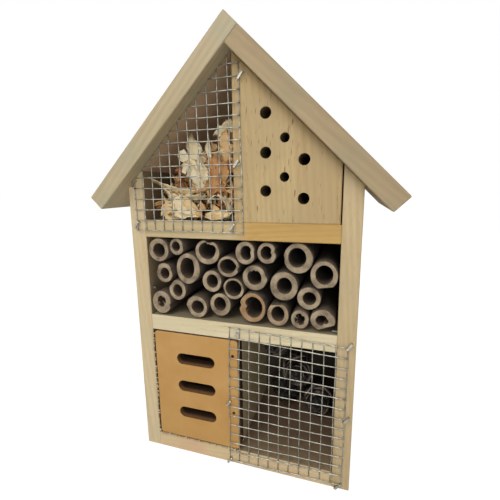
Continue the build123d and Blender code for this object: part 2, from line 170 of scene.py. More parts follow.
def pine(
    name, pale, deep, blotch, lean=0.0, shift=0.0, marks=0.25, rings=0.3, stain_and_painted_shading=0.0, warm=None,
    inside="#5e4736", dim=1.0,
):
    """Planed pine. The grain leans from upright towards +X by lean degrees.

    Inside the hotel the wood is mixed towards the inside colour, more so further back and only by the share dim in the
    gable: painted shade where the inside colour is dark, painted light where it is pale.
    Warm tints the right half of a board, as painted shading: it stands in for the mesh's shade on the left half.
    """
    finish, tree, shader = new_finish(name, 0.6)
    place = add(tree, "ShaderNodeTexCoord")
    turned = add(
        tree,
        "ShaderNodeMapping",
        {
            "Vector": place.outputs["Object"],
            "Rotation": (0, -math.radians(lean), 0),
            "Location": (shift, shift * 0.7, shift * 1.3),
        },
    )
    drawn = add(tree, "ShaderNodeMapping", {"Vector": turned.outputs[0], "Scale": (1, 1, 0.07)})
    wavy = add(
        tree,
        "ShaderNodeTexWave",
        {
            "Vector": drawn.outputs[0],
            "Scale": math.tau / 10 / ring_spacing,
            "Distortion": 9.0,
            "Detail": 2.0,
            "Detail Scale": 0.3,
        },
        bands_direction="DIAGONAL",
    )
    fibre = add(tree, "ShaderNodeTexNoise", {"Vector": drawn.outputs[0], "Scale": 1 / fibre_width, "Detail": 3.0})
    streak = add(tree, "ShaderNodeTexNoise", {"Vector": drawn.outputs[0], "Scale": 0.25 / ring_spacing, "Detail": 3.0})
    patch = add(tree, "ShaderNodeTexNoise", {"Vector": turned.outputs[0], "Scale": 1 / blotch_size, "Detail": 2.0})
    ring_share = add(
        tree, "ShaderNodeMath", {0: wavy.outputs["Fac"], 1: rings * 0.42}, operation="MULTIPLY"
    )
    fibre_share = add(
        tree, "ShaderNodeMath", {0: fibre.outputs["Fac"], 1: 0.3, 2: ring_share.outputs[0]}, operation="MULTIPLY_ADD"
    )
    grain = add(
        tree, "ShaderNodeMath", {0: streak.outputs["Fac"], 1: 0.75, 2: fibre_share.outputs[0]}, operation="MULTIPLY_ADD"
    )
    wood = add(
        tree, "ShaderNodeValToRGB", {"Fac": grain.outputs[0]}, stops=[(0.42, pale), (0.95, deep)]
    )
    patchy = add(
        tree, "ShaderNodeMapRange", {"Value": patch.outputs["Fac"], "From Min": 0.45, "From Max": 0.7, "To Max": 0.75}
    )
    toned = add(
        tree,
        "ShaderNodeMix",
        {"Factor": patchy.outputs[0], 6: wood.outputs["Color"], 7: colour(blotch)},
        data_type="RGBA",
    )
    dashed = add(tree, "ShaderNodeMapping", {"Vector": turned.outputs[0], "Scale": (1, 1, 0.13)})
    dash = add(tree, "ShaderNodeTexNoise", {"Vector": dashed.outputs[0], "Scale": 1 / mark_width, "Detail": 1.0})
    dash_share = add(
        tree, "ShaderNodeMapRange", {"Value": dash.outputs["Fac"], "From Min": 0.66, "From Max": 0.78, "To Max": marks}
    )
    marked = add(
        tree,
        "ShaderNodeMix",
        {"Factor": dash_share.outputs[0], 6: toned.outputs[2], 7: colour("#6e4f2c")},
        data_type="RGBA",
    )
    raised = add(
        tree, "ShaderNodeBump", {"Height": grain.outputs[0], "Strength": 0.35, "Distance": 0.12 * MM}
    )
    axes = add(tree, "ShaderNodeSeparateXYZ", {"Vector": place.outputs["Object"]})
    surface = marked.outputs[2]
    # Painted shading: the right half is tinted by the warm colour, standing in for the mesh's shade on the left half.
    if warm:
        half = add(
            tree, "ShaderNodeMapRange", {"Value": axes.outputs["X"], "From Min": -2 * MM, "From Max": 9 * MM}
        )
        surface = add(
            tree, "ShaderNodeMix", {"Factor": half.outputs[0], 6: surface, 7: colour(warm)},
            data_type="RGBA", blend_type="MULTIPLY",
        ).outputs[2]
    # Painted shading: between the walls, in front of the back face and under the roof, the wood is mixed towards the
    # inside colour, more so further back and less in the gable.
    if stain_and_painted_shading:
        depth = add(
            tree,
            "ShaderNodeMapRange",
            {
                "Value": axes.outputs["Y"],
                "From Min": painted_shading_start,
                "From Max": painted_shading_start + painted_shading_depth,
                "To Min": stain_and_painted_shading * 0.6,
                "To Max": stain_and_painted_shading,
            },
        )
        sunk = add(tree, "ShaderNodeMath", {0: axes.outputs["Y"], 1: painted_shading_start}, operation="GREATER_THAN")
        aside = add(tree, "ShaderNodeMath", {0: axes.outputs["X"]}, operation="ABSOLUTE")
        between = add(tree, "ShaderNodeMath", {0: aside.outputs[0], 1: wall_inside}, operation="LESS_THAN")
        in_front = add(tree, "ShaderNodeMath", {0: axes.outputs["Y"], 1: back_face}, operation="LESS_THAN")
        slope = add(tree, "ShaderNodeMath", {0: aside.outputs[0], 1: axes.outputs["Z"]})
        under = add(tree, "ShaderNodeMath", {0: slope.outputs[0], 1: roof_underside}, operation="LESS_THAN")
        both = sunk
        for limit in (between, in_front, under):
            both = add(tree, "ShaderNodeMath", {0: both.outputs[0], 1: limit.outputs[0]}, operation="MULTIPLY")
        storey = add(
            tree,
            "ShaderNodeMapRange",
            {"Value": axes.outputs["Z"], "From Min": gable_start, "From Max": gable_start + board, "To Min": 1.0,
             "To Max": dim},
        )
        deeper = add(tree, "ShaderNodeMath", {0: depth.outputs[0], 1: storey.outputs[0]}, operation="MULTIPLY")
        share = add(tree, "ShaderNodeMath", {0: deeper.outputs[0], 1: both.outputs[0]}, operation="MULTIPLY")
        surface = add(
            tree, "ShaderNodeMix", {"Factor": share.outputs[0], 6: surface, 7: colour(inside)},
            data_type="RGBA",
        ).outputs[2]
    tree.links.new(surface, shader.inputs["Base Color"])
    tree.links.new(raised.outputs[0], shader.inputs["Normal"])
    return finish


def dress(finish, *names):
    """Gives a finish to whole nodes that are shown as they are."""
    for name in names:
        slots = nodes[name].data.materials
        slots.clear()
        slots.append(finish)


# %% [markdown]
# Each board has its own pine. Walls and divider have upright grain, shelves have level grain, and the
# roof boards' grain runs up the slope at 45 degrees.

# %% Boards
# Painted shading: the dark inside colours paint shade on the walls, shelves, bottom board, divider, block holes and
# back panel inside the hotel; the left roof board's pale inside colour paints light on its underside.
dress(pine("planed_pine_left_wall", "#cdba93", "#b1966a", "#c4b28d", shift=0.3, stain_and_painted_shading=0.85), "left_wall")
dress(pine("planed_pine_right_wall", "#bfaa81", "#a0865b", "#b19d79", shift=0.9, stain_and_painted_shading=0.75), "right_wall")
dress(pine("planed_pine_divider", "#e0cc9e", "#b39f75", "#c6b68f", shift=1.7, stain_and_painted_shading=0.35), "divider")
dress(
    pine("planed_pine_bottom_board", "#d2bd93", "#bba077", "#cba984", lean=90, shift=2.6, stain_and_painted_shading=0.9),
    "bottom_board",
)
dress(
    pine("planed_pine_lower_shelf", "#dacda9", "#bfab80", "#cfc09b", lean=90, shift=3.1, stain_and_painted_shading=0.95, inside="#3f3126"),
    "lower_shelf",
)
dress(
    pine("planed_pine_upper_shelf", "#c9b58a", "#aa8f60", "#bba77c", lean=90, shift=4.4, stain_and_painted_shading=0.7, warm="#f3dba6"),
    "upper_shelf",
)
dress(
    pine("roof_pine_left", "#bdad8a", "#9c8967", "#a39c80", lean=45, shift=5.3, marks=0.12, stain_and_painted_shading=0.9, inside="#edc49c"),
    "left_roof_board",
)
dress(pine("roof_pine_right", "#a48f6b", "#86714e", "#8c8365", lean=-45, shift=6.1, marks=0.12), "right_roof_board")
dress(
    pine("sawn_pine_block", "#b8a071", "#97784a", "#a99167", shift=7.7, marks=0.85, stain_and_painted_shading=1.0, inside="#1e140d"),
    "drilled_block",
)
dress(
    pine("plywood_back", "#c9a27c", "#a38260", "#b08d6c", shift=8.2, stain_and_painted_shading=0.95, inside="#1d1611", dim=0.12),
    "back_panel",
)
print("boards dressed in pine")

# %% [markdown]
# ### Painted fibreboard
#
# The slotted panel is fibreboard with a coat of ochre paint on its face only. Its sawn edges and the
# slots' walls show brown fibre, painted darker further back in the slots as painted shade. The paint is
# where the face is, so its place is read from the depth in the object, which needs no separate piece of paint.

# %% Painted fibreboard
panel_low, panel_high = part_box("slotted_panel")
paint_depth = 0.25 * MM
# The lip is how far into the slots the walls keep their fibre colour before the painted shade begins.
slot_lip = 2.2 * MM  # how deep the slots' walls stay clean


def painted_fibreboard():
    """Ochre paint on the front of a brown fibreboard, whose slot walls are painted darker further back, as painted
    shade.
    """
    finish, tree, shader = new_finish("ochre_painted_fibreboard", 0.55)
    place = add(tree, "ShaderNodeTexCoord")
    mottle = add(tree, "ShaderNodeTexNoise", {"Vector": place.outputs["Object"], "Scale": 1 / (14 * MM), "Detail": 4.0})
    paint = add(
        tree, "ShaderNodeValToRGB", {"Fac": mottle.outputs["Fac"]}, stops=[(0.3, "#b58746"), (0.7, "#bd9253")]
    )
    fibre = add(tree, "ShaderNodeTexNoise", {"Vector": place.outputs["Object"], "Scale": 1 / (0.8 * MM), "Detail": 4.0})
    board = add(
        tree, "ShaderNodeValToRGB", {"Fac": fibre.outputs["Fac"]}, stops=[(0.3, "#6a4a30"), (0.7, "#8a6544")]
    )
    axes = add(tree, "ShaderNodeSeparateXYZ", {"Vector": place.outputs["Object"]})
    # Painted shade: behind the lip the slot walls are mixed towards near black.
    shaded = add(
        tree,
        "ShaderNodeMapRange",
        {
            "Value": axes.outputs["Y"],
            "From Min": panel_low.y + slot_lip,
            "From Max": panel_low.y + 2 * slot_lip,
            "To Max": 0.85,
        },
    )
    painted_shade_mix = add(
        tree, "ShaderNodeMix", {"Factor": shaded.outputs[0], 6: board.outputs["Color"], 7: colour("#1c130c")},
        data_type="RGBA",
    )
    edge = panel_low.y + paint_depth
    painted = add(tree, "ShaderNodeMath", {0: axes.outputs["Y"], 1: edge}, operation="LESS_THAN")
    mixed = add(
        tree,
        "ShaderNodeMix",
        {"Factor": painted.outputs[0], 6: painted_shade_mix.outputs[2], 7: paint.outputs["Color"]},
        data_type="RGBA",
    )
    raised = add(tree, "ShaderNodeBump", {"Height": fibre.outputs["Fac"], "Strength": 0.25, "Distance": 0.1 * MM})
    tree.links.new(mixed.outputs[2], shader.inputs["Base Color"])
    tree.links.new(raised.outputs[0], shader.inputs["Normal"])
    return finish


dress(painted_fibreboard(), "slotted_panel")
print("panel front at", round(panel_low.y, 4))

# %% [markdown]
# ### Metals
#
# Nails are bright drawn steel and the stray pins dull steel, the brads have gone brown, the hanging plate is zinc
# coated and the mesh and staples are hot-dip galvanised, which is pale, matt and a little mottled.


# %% Metals
def metal(name, bright, dull, grain, roughness):
    """A metal whose brightness wanders by patches of the given size."""
    finish, tree, shader = new_finish(name, roughness, metallic=1.0)
    place = add(tree, "ShaderNodeTexCoord")
    patch = add(tree, "ShaderNodeTexNoise", {"Vector": place.outputs["Object"], "Scale": 1 / grain, "Detail": 3.0})
    tone = add(tree, "ShaderNodeValToRGB", {"Fac": patch.outputs["Fac"]}, stops=[(0.35, dull), (0.65, bright)])
    rough = add(
        tree,
        "ShaderNodeMapRange",
        {"Value": patch.outputs["Fac"], "To Min": roughness + 0.1, "To Max": roughness - 0.1},
    )
    tree.links.new(tone.outputs["Color"], shader.inputs["Base Color"])
    tree.links.new(rough.outputs[0], shader.inputs["Roughness"])
    return finish


drawn_steel = metal("drawn_steel", "#d5d2cb", "#9b968c", 1.5 * MM, 0.38)
brown_steel = metal("browned_steel", "#6b4a2a", "#3d2a18", 1.0 * MM, 0.55)
zinc_plate = metal("zinc_plate", "#d2d2ce", "#aeb0ae", 4.0 * MM, 0.4)
galvanised = metal("galvanised_wire", "#bbb9ad", "#89867a", 2.5 * MM, 0.55)
staple_steel = metal("staple_steel", "#dad8cf", "#97948a", 1.5 * MM, 0.32)
dress(drawn_steel, "frame_nails", "roof_nails", "back_panel_nails", "divider_nails")
dress(brown_steel, "slotted_panel_nails")
dress(zinc_plate, "hanging_plate", "hanging_plate_screws")
dress(metal("dull_steel", "#7f7c74", "#55524c", 1.5 * MM, 0.7), "stray_pins")
print("metals made")

# %% [markdown]
# ## Shaping helpers
#
# Canes, wires and splinters are all one idea: a ring of edges that is extruded on and on, and moved a
# little each time. Two helpers do that with the extrude operator. The angle of a point round its
# centre stays readable from its place, so each ring can be given its own outline.


# %% Rings
def first_ring(bm, sides, centre, radius=1.0, facing="Y"):
    """A closed ring of edges round centre, in a plane square to the facing axis."""
    turn = {"X": Euler((0, math.pi / 2, 0)), "Y": Euler((math.pi / 2, 0, 0)), "Z": Euler((0, 0, 0))}[facing]
    place = Matrix.Translation(centre) @ turn.to_matrix().to_4x4()
    made = bmesh.ops.create_circle(bm, segments=sides, radius=radius, matrix=place)
    corners = set(made["verts"])
    return [edge for edge in bm.edges if edge.verts[0] in corners and edge.verts[1] in corners]


def ring_points(ring):
    """The points of a ring of edges."""
    return {point for edge in ring for point in edge.verts}


def next_ring(bm, ring):
    """Extrudes a ring, and returns the new ring, which still lies on the old one."""
    grown = bmesh.ops.extrude_edge_only(bm, edges=ring)["geom"]
    points = {item for item in grown if isinstance(item, bmesh.types.BMVert)}
    edges = [item for item in grown if isinstance(item, bmesh.types.BMEdge)]
    return [edge for edge in edges if edge.verts[0] in points and edge.verts[1] in points]


def finish_piece(bm, name, finishes, replaced, smooth=True):
    """Turns a bmesh into a piece that rides on the hotel and stands for some nodes."""
    bmesh.ops.recalc_face_normals(bm, faces=bm.faces)
    mesh = bpy.data.meshes.new(name)
    bm.to_mesh(mesh)
    bm.free()
    for finish in finishes:
        mesh.materials.append(finish)
    for face in mesh.polygons:
        face.use_smooth = smooth
    piece = bpy.data.objects.new(name, mesh)
    bpy.context.scene.collection.objects.link(piece)
    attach(piece, "root")
    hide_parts(*replaced)
    return piece


def tube(bm, path, thickness, sides=6, facing="Z"):
    """A closed tube along a path that stays near one axis. Thickness may change from point to point."""
    ring = first_ring(bm, sides, path[0], thickness[0] / 2, facing)
    rings = [ring]
    for index in range(1, len(path)):
        ring = next_ring(bm, ring)
        shift = path[index] - path[index - 1]
        grow = thickness[index] / thickness[index - 1]
        for point in ring_points(ring):
            point.co = path[index] + (point.co + shift - path[index]) * grow
        rings.append(ring)
    bmesh.ops.holes_fill(bm, edges=rings[0] + rings[-1], sides=sides)


print("helpers ready")

# %% [markdown]
# ## Bamboo canes
#
# The canes are sawn across and pushed in from the front. No cane is round: each is a slightly lopsided
# oval, with a wall of its own thickness, a bore off its middle, and here a dent, there a flat side or
# a split. The cut end is pale and fibrous, the skin is grey-brown and ribbed along its length, and the
# bore is brown; skin and bore are painted darker further back, as painted shade. A plain tube would show
# none of that, so each ring's outline is drawn by a formula: an oval, a slow wobble, and the cane's own dents and
# flats.

# %% Finishes of a cane
fibre_spot = 0.5 * MM
skin_rib = 0.45 * MM


def cane_cut():
    """A sawn end of bamboo: pale, with dark spots where the fibre bundles end."""
    finish, tree, shader = new_finish("sawn_bamboo_end", 0.75)
    place = add(tree, "ShaderNodeTexCoord")
    spots = add(tree, "ShaderNodeTexNoise", {"Vector": place.outputs["Object"], "Scale": 1 / fibre_spot, "Detail": 2.0})
    stain_and_painted_shading = add(tree, "ShaderNodeTexNoise", {"Vector": place.outputs["Object"], "Scale": 1 / (6 * MM), "Detail": 2.0})
    both = add(
        tree, "ShaderNodeMath", {0: spots.outputs["Fac"], 1: 0.55, 2: stain_and_painted_shading.outputs["Fac"]}, operation="MULTIPLY_ADD"
    )
    tint = add(tree, "ShaderNodeAttribute", attribute_name="tint")
    base = add(
        tree,
        "ShaderNodeValToRGB",
        {"Fac": both.outputs[0]},
        stops=[(0.5, "#57493a"), (0.75, "#8d7c63"), (1.0, "#ad9b7e")],
    )
    warm = add(
        tree,
        "ShaderNodeMix",
        {"Factor": tint.outputs["Fac"], 6: base.outputs["Color"], 7: colour("#a9783f")},
        data_type="RGBA",
    )
    raised = add(tree, "ShaderNodeBump", {"Height": spots.outputs["Fac"], "Strength": 0.5, "Distance": 0.15 * MM})
    tree.links.new(warm.outputs[2], shader.inputs["Base Color"])
    tree.links.new(raised.outputs[0], shader.inputs["Normal"])
    return finish


def cane_wall(name, pale, deep, roughness, painted_shade_reach):
    """Bamboo skin or bore, ribbed along the cane, and painted darker further in, as painted shade."""
    finish, tree, shader = new_finish(name, roughness)
    place = add(tree, "ShaderNodeTexCoord")
    drawn = add(tree, "ShaderNodeMapping", {"Vector": place.outputs["Object"], "Scale": (1, 0.06, 1)})
    rib = add(tree, "ShaderNodeTexNoise", {"Vector": drawn.outputs[0], "Scale": 1 / skin_rib, "Detail": 3.0})
    stain_and_painted_shading = add(tree, "ShaderNodeTexNoise", {"Vector": place.outputs["Object"], "Scale": 1 / (7 * MM), "Detail": 3.0})
    both = add(tree, "ShaderNodeMath", {0: rib.outputs["Fac"], 1: stain_and_painted_shading.outputs["Fac"]}, operation="ADD")
    tone = add(tree, "ShaderNodeValToRGB", {"Fac": both.outputs[0]}, stops=[(0.75, deep), (1.2, pale)])
    raised = add(tree, "ShaderNodeBump", {"Height": rib.outputs["Fac"], "Strength": 0.5, "Distance": 0.15 * MM})
    axes = add(tree, "ShaderNodeSeparateXYZ", {"Vector": place.outputs["Object"]})
    # Painted shade: skin and bore are mixed towards near black further back from the cane's front.
    depth = add(
        tree,
        "ShaderNodeMapRange",
        {"Value": axes.outputs["Y"], "From Min": -36 * MM, "From Max": -36 * MM + painted_shade_reach, "To Max": 0.85},
    )
    painted_shade_mix = add(
        tree,
        "ShaderNodeMix",
        {"Factor": depth.outputs[0], 6: tone.outputs["Color"], 7: colour("#120e0b")},
        data_type="RGBA",
    )
    tree.links.new(painted_shade_mix.outputs[2], shader.inputs["Base Color"])
    tree.links.new(raised.outputs[0], shader.inputs["Normal"])
    return finish


cane_finishes = [
    cane_wall("bamboo_skin", "#57493a", "#2d251c", 0.7, 9 * MM),
    cane_cut(),
    cane_wall("bamboo_bore", "#6f5c49", "#3f3225", 0.85, 12 * MM),
]
SKIN, CUT, BORE = range(3)
print("cane finishes", [finish.name for finish in cane_finishes])

# %% [markdown]
# Each cane is described as a craftsperson would: its wall in millimetres, how far the bore sits off the
# middle, and a list of marks. A dent is a direction in degrees from the right, a depth and a spread; a
# negative depth is a bump. A flat cuts straight across, at a share of the radius.

# %% What each cane looks like
cane_marks = {
    1: dict(wall=3.0, bore=(0.1, -0.2)),
    2: dict(wall=2.2, bore=(-0.5, 0.2), flats=[(5, 0.86)]),
    3: dict(wall=2.5, bore=(-0.2, 0.7), dents=[(84, 2.3, 13), (66, 0.8, 7)], bore_dents=[(60, 1.0, 14), (20, -0.5, 20)]),
    4: dict(wall=3.4, bore=(-0.6, 0.4), dents=[(-55, 0.6, 25)], bore_dents=[(55, -0.6, 12)]),
    5: dict(wall=2.8, bore=(0.2, -0.3), dents=[(20, 0.6, 18), (160, 0.5, 20)]),
    6: dict(wall=2.7, bore=(0.1, -0.3), flats=[(140, 0.92)]),
    7: dict(wall=4.0, bore=(-0.2, 0.4), dents=[(-15, 1.3, 9), (10, 0.5, 16)], bore_dents=[(-40, 1.0, 12), (70, 0.7, 10)], slivers=[(-50, 1.0, 2.2, 1.2), (200, 1.0, 1.6, -0.6)]),
    8: dict(wall=3.0, bore=(0.5, 0.0), flats=[(205, 0.84), (235, 0.9)], dents=[(180, -0.3, 8)], slivers=[(178, 1.9, 1.0, 1.4)]),
    9: dict(wall=3.0, bore=(-0.3, 0.3)),
    10: dict(wall=2.7, bore=(0.1, 0.2), dents=[(-20, 0.4, 22)]),
    11: dict(wall=2.0, bore=(-0.5, 0.1), dents=[(-12, 0.9, 9)], bore_dents=[(5, -0.5, 14)]),
    12: dict(wall=1.7, bore=(0.0, 0.2), dents=[(200, 0.4, 20)]),
    13: dict(wall=2.7, bore=(0.5, 0.1), dents=[(0, 0.7, 22)], bore_dents=[(0, 1.1, 30)]),
    14: dict(wall=2.3, bore=(-0.2, 0.1), dents=[(12, 1.1, 15), (-55, -0.4, 10)], bore_dents=[(8, 1.0, 22)]),
    15: dict(wall=3.2, bore=(-0.1, 0.3), dents=[(-5, -0.4, 9), (20, 0.5, 12)], bore_dents=[(112, 0.8, 9), (80, 0.8, 7), (-35, -0.4, 12)]),
    16: dict(wall=2.7, bore=(0.5, 0.3), tint=0.45, dents=[(172, 1.0, 9), (200, -0.2, 14)], bore_dents=[(178, 1.6, 16), (215, 0.5, 18)], slivers=[(215, 1.0, 1.4, 0.8)]),
    17: dict(wall=3.8, bore=(0.3, 0.1)),
    18: dict(wall=3.2, bore=(-0.6, 0.3), dents=[(185, 0.4, 8), (40, 0.3, 20)]),
    19: dict(wall=2.8, bore=(0.1, 0.4), flats=[(-80, 0.9)]),
    20: dict(wall=2.9, bore=(0.3, 0.0)),
    21: dict(wall=2.6, bore=(0.0, 0.3), flats=[(95, 0.9)], tint=0.15),
    22: dict(wall=2.2, bore=(-0.1, -0.1), bore_dents=[(60, 0.7, 14), (150, 0.7, 12), (250, 0.8, 14), (-20, 0.6, 12)], slivers=[(170, 1.0, 2.0, 0.3), (110, 1.0, 1.2, -0.8), (230, 1.0, 1.4, 0.7)]),
    23: dict(wall=3.4, bore=(-0.4, -0.3), flats=[(-68, 0.7)], dents=[(40, 0.5, 22)], bore_dents=[(-60, 1.2, 20), (30, 0.6, 18)]),
}
cane_sides = 64
wobble = 0.03  # share of the radius
outline_room = 0.985  # keeps a wobbly outline inside its oval


def angle_between(first, second):
    """The unsigned angle between two directions, in degrees."""
    return abs((first - second + 180) % 360 - 180)


def outline(direction, width, height, dents, flats, seed):
    """How far a cane's surface is from its middle, in a direction in degrees."""
    angle = math.radians(direction)
    reach = width * height / 4 / math.hypot(height / 2 * math.cos(angle), width / 2 * math.sin(angle))
    bend = noise.noise(Vector((math.cos(angle), math.sin(angle), seed)) * 0.9)
    reach *= outline_room + wobble * (bend - 0.5)
    for at, depth, spread in dents:
        reach -= depth * MM * math.exp(-((angle_between(direction, at) / spread) ** 2))
    for at, share in flats:
        toward = math.cos(math.radians(direction - at))
        if toward > 0.05:
            reach = min(reach, share * min(width, height) / 2 / toward)
    return reach


# %% [markdown]
# A cane is one ring, extruded back to front outside, over the cut end, and back again inside the bore.
# The end is not quite flat: the saw leaves it rough, so its points are moved a little in depth.

# %% Build the canes
end_break = 0.3 * MM
saw_roughness = 0.22 * MM
bore_lip = 0.5 * MM


def build_cane(number):
    """One bamboo cane, read from its node's box and its marks."""
    node = f"bamboo_cane_{number:02d}"
    low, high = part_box(node)
    marks = cane_marks[number]
    width = high.x - low.x
    height = high.z - low.z
    middle = (low + high) / 2
    bore_middle = middle + Vector((marks["bore"][0], 0, marks["bore"][1])) * MM
    wall = marks["wall"] * MM
    seed = number * 3.7
    joint = random.Random(number).uniform(0.25, 0.75)

    def outer(direction):
        return outline(direction, width, height, marks.get("dents", ()), marks.get("flats", ()), seed)

    def inner(direction):
        return outline(
            direction, width - 2 * wall, height - 2 * wall, marks.get("bore_dents", ()), (), seed + 1.3
        )

    front, back = low.y, high.y
    length = back - front
    node_y = front + length * joint
    stages = [
        (back, outer, 0, 0, SKIN),
        (node_y + 3 * MM, outer, 0, 0, SKIN),
        (node_y, outer, -0.35 * MM, 0, SKIN),
        (node_y - 1.5 * MM, outer, 0.25 * MM, 0, SKIN),
        (node_y - 4 * MM, outer, 0, 0, SKIN),
        (front + end_break, outer, 0, 0, SKIN),
        (front, outer, end_break, 0.4, SKIN),
        (front, outer, wall * 0.3, 1, CUT),
        (front, "between", 0.5, 1, CUT),
        (front, "between", 0.8, 1, CUT),
        (front + bore_lip * 0.3, inner, 0, 0.5, CUT),
        (front + bore_lip * 3, inner, 0.1 * MM, 0, BORE),
        (front + length * 0.3, inner, 0, 0, BORE),
        (back, inner, 0, 0, BORE),
    ]
    bm = bmesh.new()
    ring = first_ring(bm, cane_sides, middle)
    for index, (y, shape, inset, rough, skin) in enumerate(stages):
        if index:
            before = set(bm.faces)
            ring = next_ring(bm, ring)
            for face in set(bm.faces) - before:
                face.material_index = skin
        for point in ring_points(ring):
            if index == 0:
                direction = math.atan2(point.co.z - middle.z, point.co.x - middle.x)
                point.co = middle + Vector((math.cos(direction), 0, math.sin(direction))) * 5 * MM
            direction = math.degrees(math.atan2(point.co.z - middle.z, point.co.x - middle.x))
            ray = Vector((math.cos(math.radians(direction)), 0, math.sin(math.radians(direction))))
            outside = middle + ray * outer(direction)
            inside = bore_middle + ray * inner(direction)
            if shape == "between":
                place = outside.lerp(inside, inset)
            elif shape is inner:
                place = inside + ray * inset
            else:
                place = outside - ray * inset
            saw = noise.noise(place / (0.9 * MM)) * saw_roughness * rough
            point.co = Vector((place.x, y + abs(saw), place.z))
    for direction, start, reach, rise in marks.get("slivers", ()):
        ray = Vector((math.cos(math.radians(direction)), 0, math.sin(math.radians(direction))))
        root = bore_middle + ray * inner(direction) * start
        root.y = front + 1.3 * MM
        before = set(bm.faces)
        path = [root, root - ray * reach * 0.5 * MM + Vector((0, -0.5, rise * 0.4)) * MM]
        path.append(root - ray * reach * MM + Vector((0, -0.8, rise)) * MM)
        tube(bm, path, [0.9 * MM, 0.6 * MM, 0.15 * MM], 5, "X")
        for face in set(bm.faces) - before:
            face.material_index = CUT
    rims = [edge for edge in bm.edges if edge.is_boundary and min(end.co.y for end in edge.verts) > back - MM]
    bmesh.ops.bridge_loops(bm, edges=rims)
    tint = bm.verts.layers.float.new("tint")
    for point in bm.verts:
        point[tint] = marks.get("tint", 0.0)
    return finish_piece(bm, f"cane_{number:02d}", cane_finishes, [node])


canes = [build_cane(number) for number in cane_marks]
print("canes", len(canes), "faces each", len(canes[0].data.polygons))

# %% [markdown]
# ## Wire mesh
#
# Hardware cloth is straight wire, laid crosswise, welded where two wires cross and then dipped in zinc.
# Cut by hand and stapled on, it is never quite flat or square. The wires could be drawn as straight
# rods, but then the mesh looks printed, so one smooth field of small shifts bends all of them together,
# which keeps the crossings joined. A small flattened bead of zinc sits on each crossing.

# %% Wire mesh
wire = 0.65 * MM
weld_bead = 1.0 * MM
wire_bend = 0.35 * MM


def loose_parts(name):
    """The separate bodies of a node, each as its lowest and highest corner."""
    bm = bmesh.new()
    bm.from_mesh(nodes[name].data)
    bmesh.ops.remove_doubles(bm, verts=bm.verts, dist=0.001 * MM)
    unseen = set(bm.verts)
    parts = []
    while unseen:
        found = {unseen.pop()}
        edge_of = list(found)
        while edge_of:
            point = edge_of.pop()
            for edge in point.link_edges:
                other = edge.other_vert(point)
                if other in unseen:
                    unseen.discard(other)
                    found.add(other)
                    edge_of.append(other)
        low = Vector([min(point.co[axis] for point in found) for axis in range(3)])
        high = Vector([max(point.co[axis] for point in found) for axis in range(3)])
        parts.append((low, high))
    bm.free()
    return parts


def mesh_shift(place, seed, lean):
    """How far the mesh is bent out of true at a place."""
    here = Vector((place.x, seed, place.z)) / (22 * MM)
    fine = Vector((place.x, seed * 2, place.z)) / (7 * MM)
    shift = noise.noise_vector(here) * wire_bend + noise.noise_vector(fine) * wire_bend * 0.3
    shift.y = -abs(shift.y) * 0.8
    return shift + lean(place)


def build_mesh(name, node, seed, lean):
    """Both sets of wires of one mesh, with a bead at each crossing."""
    parts = loose_parts(node)
    upright = [part for part in parts if part[1].z - part[0].z > part[1].x - part[0].x]
    level = [part for part in parts if part not in upright]
    dice = random.Random(seed)
    bm = bmesh.new()
    for group, axis in ((upright, 2), (level, 0)):
        for low, high in group:
            middle = (low + high) / 2
            steps = max(2, round((high[axis] - low[axis]) / (3 * MM)))
            path = []
            for step in range(steps + 1):
                point = middle.copy()
                point[axis] = low[axis] + (high[axis] - low[axis]) * step / steps
                path.append(point + mesh_shift(point, seed, lean))
            tube(bm, path, [wire] * len(path), 6, "XYZ"[axis])
    for up_low, up_high in upright:
        for flat_low, flat_high in level:
            x = (up_low.x + up_high.x) / 2
            z = (flat_low.z + flat_high.z) / 2
            if not (flat_low.x < x < flat_high.x and up_low.z < z < up_high.z):
                continue
            place = Vector((x, (up_low.y + up_high.y + flat_low.y + flat_high.y) / 4, z))
            place += mesh_shift(place, seed, lean)
            size = weld_bead * dice.uniform(0.85, 1.15) / 2
            seat = Matrix.Translation(place) @ Matrix.Diagonal((size, size * 0.75, size, 1))
            bmesh.ops.create_icosphere(bm, subdivisions=1, radius=1, matrix=seat)
    return finish_piece(bm, name, [galvanised], [node])


def gable_lean(place):
    """The gable mesh creeps to the left towards the ridge, at its right edge."""
    low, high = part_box("gable_mesh")
    up = (place.z - low.z) / (high.z - low.z)
    along = (place.x - low.x) / (high.x - low.x)
    return Vector((-1.5 * MM * up * along, 0, 0))


def lower_lean(place):
    """The lower mesh drops a little to the right, at its head."""
    low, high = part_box("lower_mesh")
    up = (place.z - low.z) / (high.z - low.z)
    along = (place.x - low.x) / (high.x - low.x)
    head = Vector((1.3 - 2.0 * along, 0, 2.8 - 3.7 * along)) * up
    foot = Vector((-1.0 * along, 0, 1.4 * along)) * (1 - up)
    return (head + foot) * MM


gable_wires = build_mesh("gable_wire_mesh", "gable_mesh", 11.0, gable_lean)
lower_wires = build_mesh("lower_wire_mesh", "lower_mesh", 17.0, lower_lean)
print("wire faces", len(gable_wires.data.polygons), len(lower_wires.data.polygons))

# %% [markdown]
# ## Staples
#
# Each staple is a bright wire crown, driven over a crossing on the slant. Its shape is right already,
# so it keeps its own solid and only gets its metal.

# %% Staples
dress(staple_steel, "gable_mesh_staples", "lower_mesh_staples")
print("staples", len(loose_parts("gable_mesh_staples")), len(loose_parts("lower_mesh_staples")))

# %% [markdown]
# ## Torn edge beside the panel
#
# The slotted panel was pressed in beside the left wall, and the wall's edge and the paint tore. Small
# pale splinters of uneven length stand in the gap. Each is a short tapered tube.

# %% Torn edge
burr_count = 40
burr_reach = (0.4, 2.2)
burr_width = (0.7, 1.5)


